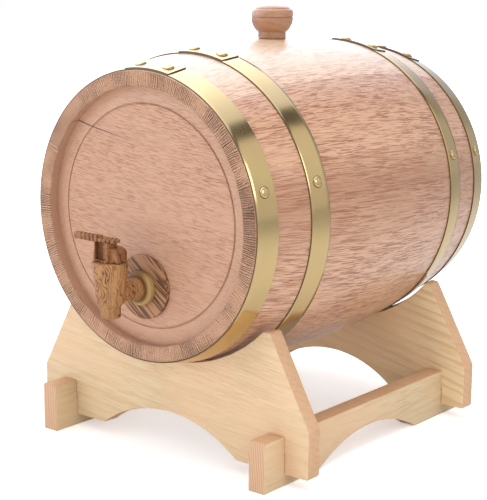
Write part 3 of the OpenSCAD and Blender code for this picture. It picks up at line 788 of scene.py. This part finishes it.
def dress_heads():
    finish = head_finish()
    rim = CROZE_RADIUS - CROZE_ROOM
    near, far = TONGUE
    root = cask_radius(near, -sizes().stave_thickness) - 2 * CROZE_ROOM
    front, back = HEAD_RECESS, HEAD_RECESS + HEAD_DEPTH
    groove = ((-0.0009, 0.0), (-0.0006, 0.0002), (-0.0003, 0.0009), (0.0003, 0.0009), (0.0006, 0.0003))
    outline = [(0.0, front)] + [(HEAD_FLAT + out, front + deep) for out, deep in groove]
    outline += [(root, near), (rim, near), (rim, far), (root, far), (HEAD_FLAT, back), (0.0, back)]
    mirrored = [(r, CASK_LENGTH - d) for r, d in reversed(outline)]
    for node, section in (("front_head", outline), ("rear_head", mirrored)):
        head = spun("oak_" + node, section, CASK_PLACE, LYING, WIDE_STEPS, smooth=12)
        dress(head, "cask", finish, [node])


def strap_outline(start, width, low, high):
    """A strap's section, following the cask's outline between two growths."""
    ease, steps, end = 0.00028, 6, start + width
    face = [start + ease + (width - 2 * ease) * i / steps for i in range(steps + 1)]
    back = [start + width * i / steps for i in range(steps, -1, -1)]
    outline = [(cask_radius(y, high), y) for y in face] + [(cask_radius(end, high - ease), end)]
    return outline + [(cask_radius(y, low), y) for y in back] + [(cask_radius(start, high - ease), start)]


def hoop_span(node):
    low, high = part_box(node)
    return low[1] - CASK_FRONT, high[1] - low[1]


def dress_hoops():
    finish = brass_finish()
    t, off_staves, lap_inset = sizes().hoop_thickness, 0.00003, 0.0002
    for node, turn in zip(HOOPS, HOOP_TURNS):
        start, width = hoop_span(node)
        section = strap_outline(start, width, off_staves, t)
        ring = spun("strap", section, CASK_PLACE, LYING, WIDE_STEPS, smooth=50)
        half = (RIVET_PITCH / 2 + LAP_END) / cask_radius(start + width / 2)
        section = strap_outline(start + lap_inset, width - 2 * lap_inset, t * 0.5, 2 * t)
        lap = spun("lap", section, CASK_PLACE, LYING, 40, math.radians(turn) - half, 2 * half, smooth=50)
        ob = join("brass_" + node, [ring, lap])
        # Faces that don't face outwards, the strap's edges, are marked for painted shade
        rim = []
        for poly in ob.data.polygons:
            out = Vector((poly.center.x, 0, poly.center.z - AXIS_Z)).normalized()
            rim.append(1.0 if abs(poly.normal.dot(out)) < 0.85 else 0.0)
        mark(ob.data, "rim", "FACE", rim)
        dress(ob, "cask", finish, [node])


def rivet_tree(material):
    """Rivets on marked points: each is turned square to the strap it stands on."""
    tree = bpy.data.node_groups.new("Strap rivets", "GeometryNodeTree")
    face = tree.interface
    face.new_socket("Geometry", in_out="INPUT", socket_type="NodeSocketGeometry")
    face.new_socket("Rivet", in_out="INPUT", socket_type="NodeSocketObject")
    face.new_socket("Size", in_out="INPUT", socket_type="NodeSocketFloat").default_value = 1.0
    face.new_socket("Geometry", in_out="OUTPUT", socket_type="NodeSocketGeometry")
    given = tree.nodes.new("NodeGroupInput").outputs
    points, rivet, size = [Sock(tree, given[name]) for name in ("Geometry", "Rivet", "Size")]
    info = rivet.node("GeometryNodeObjectInfo", {"Object": rivet}, "Geometry", transform_space="ORIGINAL")
    facing = points.node("GeometryNodeInputNamedAttribute", {"Name": "facing"}, data_type="FLOAT_VECTOR")
    turn = facing.node("FunctionNodeAlignRotationToVector", {"Vector": facing}, axis="Z")
    put = points.node("GeometryNodeInstanceOnPoints",
                      {"Points": points, "Instance": info, "Rotation": turn, "Scale": size})
    real = put.node("GeometryNodeRealizeInstances", [put])
    paint = real.node("GeometryNodeSetMaterial", {"Geometry": real, "Material": material})
    tree.links.new(paint.out, tree.nodes.new("NodeGroupOutput").inputs[0])
    return tree


def rivet_pattern():
    """One rivet at the origin: a thin rim, a groove and a flattened dome; the groove and the foot are painted
    dark as painted shade.
    """
    r, h = sizes().rivet_radius, sizes().rivet_height
    sunk, groove, steps = -0.0004, 0.0001, 9
    outline = [(0.0, sunk), (r * 0.98, sunk), (r, 0.0), (r, 0.00018), (r * 0.98, 0.00026),
               (r * 0.94, 0.00024), (r * 0.91, groove)]
    for i in range(steps):
        a = math.pi / 2 * i / steps
        outline.append((r * 0.89 * math.cos(a) ** 0.7, groove + (h - groove) * math.sin(a)))
    rivet = spun("rivet_pattern", outline + [(0.0, h)], (0, 0, 0), UPRIGHT, 40, smooth=50)
    places = [v.co for v in rivet.data.vertices]
    # Painted shade: the groove and the foot are marked dark
    mark(rivet.data, "rim", "POINT",
         [1.0 if r * 0.87 < p.xy.length < r * 0.96 or p.z < groove else 0.0 for p in places])
    return rivet


def rivet_spots():
    """Where the rivets stand and which way they face: two on each lap and one on each side."""
    over_strap = 0.00002
    spots, facing = [], []
    for node, turn in zip(HOOPS, HOOP_TURNS):
        start, width = hoop_span(node)
        y = start + width / 2
        r, tilt = cask_radius(y), cask_tilt(y)
        half = math.degrees(RIVET_PITCH / 2 / r)
        for angle, layers in ((turn + half, 2), (turn - half, 2), (SIDE_TURN, 1), (180 - SIDE_TURN, 1)):
            c, s = math.cos(math.radians(angle)), math.sin(math.radians(angle))
            out = Vector((c * math.cos(tilt), math.sin(tilt), s * math.cos(tilt)))
            foot = Vector((c * r, CASK_FRONT + y, AXIS_Z + s * r))
            spots.append(foot + out * (layers * sizes().hoop_thickness + over_strap))
            facing.append(out)
    return spots, facing


def dress_rivets():
    rivet = rivet_pattern()
    spots, facing = rivet_spots()
    me = bpy.data.meshes.new("rivet_spots")
    me.from_pydata([tuple(p) for p in spots], [], [])
    ways = me.attributes.new("facing", "FLOAT_VECTOR", "POINT")
    ways.data.foreach_set("vector", [c for v in facing for c in v])
    ob = placed("brass_rivets", me)
    finish = brass_finish("rivet_brass", 0.2)
    mod = ob.modifiers.new("rivets", "NODES")
    mod.node_group = rivet_tree(finish)
    for item in mod.node_group.interface.items_tree:
        if item.in_out == "INPUT" and item.name in ("Rivet", "Size"):
            mod[item.identifier] = rivet if item.name == "Rivet" else 1.0
    apply_modifiers(ob)
    bpy.data.objects.remove(rivet)
    dress(ob, "cask", finish, [n + "_rivets" for n in HOOPS])


def bung_outline(knob, top):
    """The bung's section over its seat: tapered plug, foot, swelling bowl, turned line and dome."""
    plug_depth, plug_foot, plug_mouth, foot = 0.012, 0.0076, 0.00852, 0.0098
    bowl_start, bowl_end, swell, bowl_steps = 0.0049, 0.0145, 0.004, 14
    line_depth, dome_start, dome_round = 0.0005, 0.0180, 0.0024
    base = [(0.0, -plug_depth, 0), (plug_foot, -plug_depth, 0.0008), (plug_mouth, 0.00002, 0.0002),
            (foot, 0.00005, 0.0004), (foot, 0.0047, 0.0003), (0.0104, bowl_start, 0.0002)]
    height = bowl_end - bowl_start
    radius = (height ** 2 + swell ** 2) / (2 * swell)
    turned = []
    for i in range(1, bowl_steps + 1):
        z = bowl_start + height * i / bowl_steps
        turned.append((knob - radius + math.sqrt(radius ** 2 - (bowl_end - z) ** 2), z))
    turned += [(knob - line_depth, 0.0147), (knob - line_depth, 0.01495), (knob, 0.01515)]
    cap, cap_start = knob - dome_round, dome_start + dome_round
    for a in [math.radians(15 * i) for i in range(6)]:
        turned.append((cap + dome_round * math.cos(a), dome_start + dome_round * math.sin(a)))
    for a in [math.radians(10 * i) for i in range(9)]:
        turned.append((cap * math.cos(a), cap_start + (top - cap_start) * math.sin(a)))
    return rounded(base, 0.0002) + turned + [(0.0, top)]


def dress_bung():
    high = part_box("bung")[1]
    seat = AXIS_Z + BULGE_RADIUS
    outline = bung_outline(high[0], high[2] - seat)
    bung = spun("turned_bung", outline, (0, CASK_MID, seat), UPRIGHT, SMALL_STEPS, smooth=32)
    dress(bung, "bung", bung_finish(), ["bung"])


# The tap

STEM_ROOM = 0.0071  # radius of the discs' holes, in which the tap's stem sits


def carved(node, name, voxel, rounds):
    """A CAD solid whose edges are worn round, as on a carved piece."""
    ob = merged_copy(node, name)
    remesh = ob.modifiers.new("wear", "REMESH")
    remesh.mode, remesh.voxel_size, remesh.use_smooth_shade = "VOXEL", voxel, True
    ease = ob.modifiers.new("ease", "SMOOTH")
    ease.factor, ease.iterations = 0.5, rounds
    return apply_modifiers(ob)


def disc_span(node):
    """A disc's near and far faces and its radius."""
    low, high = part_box(node)
    return low[1], high[1], high[0] - TAP_X


def dress_tap():
    dress(carved("tap_body", "wooden_tap", 0.00036, 5), "cask", tap_finish("tap_wood", 0.15), ["tap_body"])
    centre = (TAP_X, 0, TAP_Z)
    face, back, r = disc_span("tap_rosette")
    outline = rounded([(STEM_ROOM, face), (r - 0.0004, face), (r, face + 0.0004), (r, back),
                       (STEM_ROOM, back)], 0.0005)
    rosette = spun("rosette", outline, centre, LYING, SMALL_STEPS, smooth=40)
    dress(rosette, "cask", rosette_finish(), ["tap_rosette"])
    face, back, r = disc_span("tap_washer")
    outline = rounded([(STEM_ROOM, face, 0), (0.0092, face + 0.0001), (r - 0.0007, face + 0.0009),
                       (r, face + 0.0016), (r, back), (STEM_ROOM, back)], 0.0008)
    washer = spun("washer", outline, centre, LYING, SMALL_STEPS, smooth=50)
    dress(washer, "cask", washer_finish(), ["tap_washer"])


def dress_key():
    low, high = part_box("tap_key")
    slot = ((TAP_X - 0.0071, low[1] + 0.0005, high[2] - 0.0140),
            (TAP_X + 0.0003, low[1] + 0.0040, high[2] - 0.0010))
    finish = tap_finish("key_wood", 0.62, tint=(0.72, 0.62, 0.55), painted_shade_box=slot)
    dress(carved("tap_key", "tap_plug_and_head", 0.00028, 4), "key", finish, ["tap_key"])
    lever = ease_edges(merged_copy("tap_lever", "tap_handle"), 0.0006, 40)
    shade(lever.data, 35)
    finish = tap_finish("lever_wood", 0.4, line_gap=0.0026, lines=1.5, swirl=0.0015, tint=(0.74, 0.64, 0.58))
    dress(lever, "key", finish, ["tap_lever"])


# The stand

def sawn(node, name, face_axis, face, edge, end=None):
    """A board or rail with eased edges; its sawn edges and ends have finishes of their own."""
    square = 0.72  # a normal's share along an axis, above which a face counts as square to it
    ob = ease_edges(merged_copy(node, name), sizes().edge, 25)
    me = ob.data
    me.materials.clear()
    for finish in (face, edge, end or edge):
        me.materials.append(finish)
    for poly in me.polygons:
        if abs(poly.normal[face_axis]) < square:
            poly.material_index = 2 if end and abs(poly.normal[1]) > square else 1
    shade(me, 28)
    dress(ob, "stand", None, [node])


def dress_cradles():
    edge = pine_edge_finish()
    front = pine_finish("pine_front_board", 0, seed=0.2, rings=0.09, ring_gap=0.009, slant=0.10)
    # The rear board is the same pine as the front one, painted lighter: painted light against the cask's
    # shade on it
    rear = pine_finish("pine_rear_board", 0, seed=0.83, rings=0.19, ring_gap=0.0075, light=1.22, slant=0.20)
    sawn("front_cradle", "pine_front_cradle", 1, front, edge)
    sawn("rear_cradle", "pine_rear_cradle", 1, rear, edge)


def dress_rails():
    face = pine_finish("pine_rail", 1, seed=0.5, rings=0.06, ring_gap=0.007)
    edge, end = pine_edge_finish(), pine_end_finish()
    for node in ("left_rail", "right_rail"):
        sawn(node, "pine_" + node, 0, face, edge, end)


# The stage

def area_lamp(name, place, aim, size, watts):
    data = bpy.data.lights.new(name, "AREA")
    data.shape, data.size, data.size_y, data.energy = "RECTANGLE", size[0], size[1], watts
    ob = placed(name, data)
    ob.location = place
    ob.rotation_euler = (Vector(aim) - Vector(place)).to_track_quat("-Z", "Y").to_euler()
    return ob


def ray(tree, kind):
    """1 for one kind of ray and 0 for the rest."""
    return Sock(tree, None).node("ShaderNodeLightPath", out="Is " + kind + " Ray")


def ray_seen(tree):
    """1 for rays from the camera, a mirror or glass, and 0 for the rest."""
    return (ray(tree, "Camera") + ray(tree, "Glossy") + ray(tree, "Transmission")).clamp()


def set_world():
    """Even light all round; polished surfaces mirror a bright room with one dark strip in it."""
    world = bpy.data.worlds.new("studio")
    bpy.context.scene.world = world
    world.use_nodes = True
    tree = world.node_tree
    back = tree.nodes["Background"]
    x, y, z = Sock(tree, None).node("ShaderNodeTexCoord", out="Generated").xyz()
    # The strip lies square to this way, and the room is brighter above it
    lean = x * -0.845 + y * -0.253 + z * 0.471
    behind = y.smooth(0.65, 0.93)
    above = lean.smooth(-0.055, -0.03)
    strip = lean.smooth(-0.245, -0.215) * (1 - above)
    room = above * (lean.smooth(0.0, 0.7) * 1.5 + 0.22) + 0.93 - behind * 0.33 * (1 - above)
    room = room - strip * (0.81 - behind * 0.63) - lean.smooth(-0.60, -0.78) * 0.17
    # Its two ends are dimmer, so that the hoops keep more of their colour from ahead and behind
    room = room - above * y.abs().smooth(0.82, 0.95) * 0.6
    glossy, seen = ray(tree, "Glossy"), ray_seen(tree)
    tint = (glossy * above).mix(seen.mix((0.97, 0.98, 1.0), (1.0, 1.0, 1.0)), (0.97, 1.03, 1.22))
    light = (1 - seen) * (z.clamp() * 0.60 + 0.50) + (seen - glossy) + glossy * room
    tree.links.new(tint.out, back.inputs["Color"])
    tree.links.new(light.out, back.inputs["Strength"])


def floor_finish():
    """A pale floor that keeps the object's shadow and fades to white away from it."""
    f = Finish("pale_floor")
    x, y, _ = f.place.xyz()
    away = (x * x + y * y).root()
    glossy = ray(f.tree, "Glossy")
    glow = (away.smooth(0.25, 1.3) * 0.6 + 0.4) * (ray_seen(f.tree) - glossy)
    mirrored = away.smooth(0.25, 1.2).mix((0.78, 0.78, 0.78), (0.48, 0.48, 0.48))
    return f.done(base_color=glossy.mix((0.93, 0.93, 0.93), mirrored), roughness=0.9,
                  emission_color=(1, 1, 1), emission_strength=glow)


def set_stage():
    half = 6.0
    corners = [(-half, -half, 0), (half, -half, 0), (half, half, 0), (-half, half, 0)]
    me = bpy.data.meshes.new("floor")
    me.from_pydata(corners, [], [(0, 1, 2, 3)])
    me.materials.append(floor_finish())
    placed("floor", me)
    set_world()
    area_lamp("overhead", (0.1, 0.15, 1.7), (0, 0, 0.15), (1.5, 1.2), 11.5).visible_glossy = False
    area_lamp("front", (0.8, -1.6, 0.30), (0, 0, 0.10), (1.6, 0.5), 5.4).visible_glossy = False
    area_lamp("front_left", (-1.3, -1.3, 0.45), (0, 0, 0.15), (1.2, 0.8), 3.5)
    area_lamp("right", (1.4, -0.3, 0.8), (0, 0.05, 0.15), (0.8, 0.6), 3.5)
    area_lamp("low", (-0.1, -0.8, 0.05), (0, -0.1, 0.03), (1.0, 0.08), 0.9)
    set_camera()
    bpy.context.scene.view_settings.view_transform = "Standard"


def set_camera():
    """The photograph's view: a long lens from the right and a little above."""
    focal_pixels, picture_side, sensor = 1413.502, 500, 36.0
    eye = (0.618337, CASK_FRONT - 0.655260, 0.334034)
    yaw, pitch, roll = -0.682748878, 0.207331936, 0.007360284
    cam = bpy.data.cameras.new("camera")
    cam.lens, cam.sensor_width = focal_pixels * sensor / picture_side, sensor
    d = Vector((math.sin(yaw) * math.cos(pitch), math.cos(yaw) * math.cos(pitch), -math.sin(pitch)))
    r = d.cross(Vector((0, 0, 1))).normalized()
    u = r.cross(d)
    right = r * math.cos(roll) + u * math.sin(roll)
    up = u * math.cos(roll) - r * math.sin(roll)
    ob = placed("camera", cam)
    ob.matrix_world = Matrix.Translation(eye) @ Matrix((right, up, -d)).transposed().to_4x4()
    bpy.context.scene.camera = ob


# The add-on

class CASK_OT_staves(bpy.types.Operator):
    """Dress the staves: bent, crozed and eased, each toned as its own timber, with painted highlight on some
    and painted shade on others
    """
    bl_idname = "cask.staves"
    bl_label = "Staves"

    def execute(self, context):
        dress_staves()
        return {"FINISHED"}


class CASK_OT_heads(bpy.types.Operator):
    """Dress the two heads with their grooved, bevelled faces"""
    bl_idname = "cask.heads"
    bl_label = "Heads"

    def execute(self, context):
        dress_heads()
        return {"FINISHED"}


class CASK_OT_hoops(bpy.types.Operator):
    """Dress the four brass hoops with their lapped ends"""
    bl_idname = "cask.hoops"
    bl_label = "Hoops"

    def execute(self, context):
        dress_hoops()
        return {"FINISHED"}


class CASK_OT_rivets(bpy.types.Operator):
    """Set the rivets on the hoops' laps and sides"""
    bl_idname = "cask.rivets"
    bl_label = "Rivets"

    def execute(self, context):
        dress_rivets()
        return {"FINISHED"}


class CASK_OT_bung(bpy.types.Operator):
    """Dress the turned bung"""
    bl_idname = "cask.bung"
    bl_label = "Bung"

    def execute(self, context):
        dress_bung()
        return {"FINISHED"}


class CASK_OT_tap(bpy.types.Operator):
    """Dress the tap with its rosette and washer"""
    bl_idname = "cask.tap"
    bl_label = "Tap"

    def execute(self, context):
        dress_tap()
        return {"FINISHED"}


class CASK_OT_key(bpy.types.Operator):
    """Dress the tap's turning plug and its lever"""
    bl_idname = "cask.key"
    bl_label = "Key"

    def execute(self, context):
        dress_key()
        return {"FINISHED"}


class CASK_OT_cradles(bpy.types.Operator):
    """Dress the two cradle boards"""
    bl_idname = "cask.cradles"
    bl_label = "Cradle boards"

    def execute(self, context):
        dress_cradles()
        return {"FINISHED"}


class CASK_OT_rails(bpy.types.Operator):
    """Dress the two rails"""
    bl_idname = "cask.rails"
    bl_label = "Rails"

    def execute(self, context):
        dress_rails()
        return {"FINISHED"}


class CASK_OT_stage(bpy.types.Operator):
    """Set the floor, the lamps and the camera"""
    bl_idname = "cask.stage"
    bl_label = "Stage"

    def execute(self, context):
        set_stage()
        return {"FINISHED"}


OPERATORS = (CASK_OT_staves, CASK_OT_heads, CASK_OT_hoops, CASK_OT_rivets, CASK_OT_bung, CASK_OT_tap,
             CASK_OT_key, CASK_OT_cradles, CASK_OT_rails, CASK_OT_stage)


class CASK_PT_panel(bpy.types.Panel):
    """Lists the dispenser's pieces in the order in which they are made"""
    bl_idname = "CASK_PT_panel"
    bl_label = "Oak Cask Dispenser"
    bl_space_type = "VIEW_3D"
    bl_region_type = "UI"
    bl_category = "Cask"

    def draw(self, context):
        column = self.layout.column(align=True)
        for op in OPERATORS:
            column.operator(op.bl_idname)
        for group in (context.scene.cask_sizes, context.scene.cask_colours):
            box = self.layout.box()
            for name in group.__annotations__:
                box.prop(group, name)


CLASSES = (CaskSizes, CaskColours) + OPERATORS + (CASK_PT_panel,)


def register():
    for cls in CLASSES:
        bpy.utils.register_class(cls)
    bpy.types.Scene.cask_sizes = bpy.props.PointerProperty(type=CaskSizes)
    bpy.types.Scene.cask_colours = bpy.props.PointerProperty(type=CaskColours)


def unregister():
    del bpy.types.Scene.cask_colours
    del bpy.types.Scene.cask_sizes
    for cls in reversed(CLASSES):
        bpy.utils.unregister_class(cls)


def main():
    register()
    bpy.ops.cask.staves()
    bpy.ops.cask.heads()
    bpy.ops.cask.hoops()
    bpy.ops.cask.rivets()
    bpy.ops.cask.bung()
    bpy.ops.cask.tap()
    bpy.ops.cask.key()
    bpy.ops.cask.cradles()
    bpy.ops.cask.rails()
    bpy.ops.cask.stage()


if __name__ == "__main__":
    main()
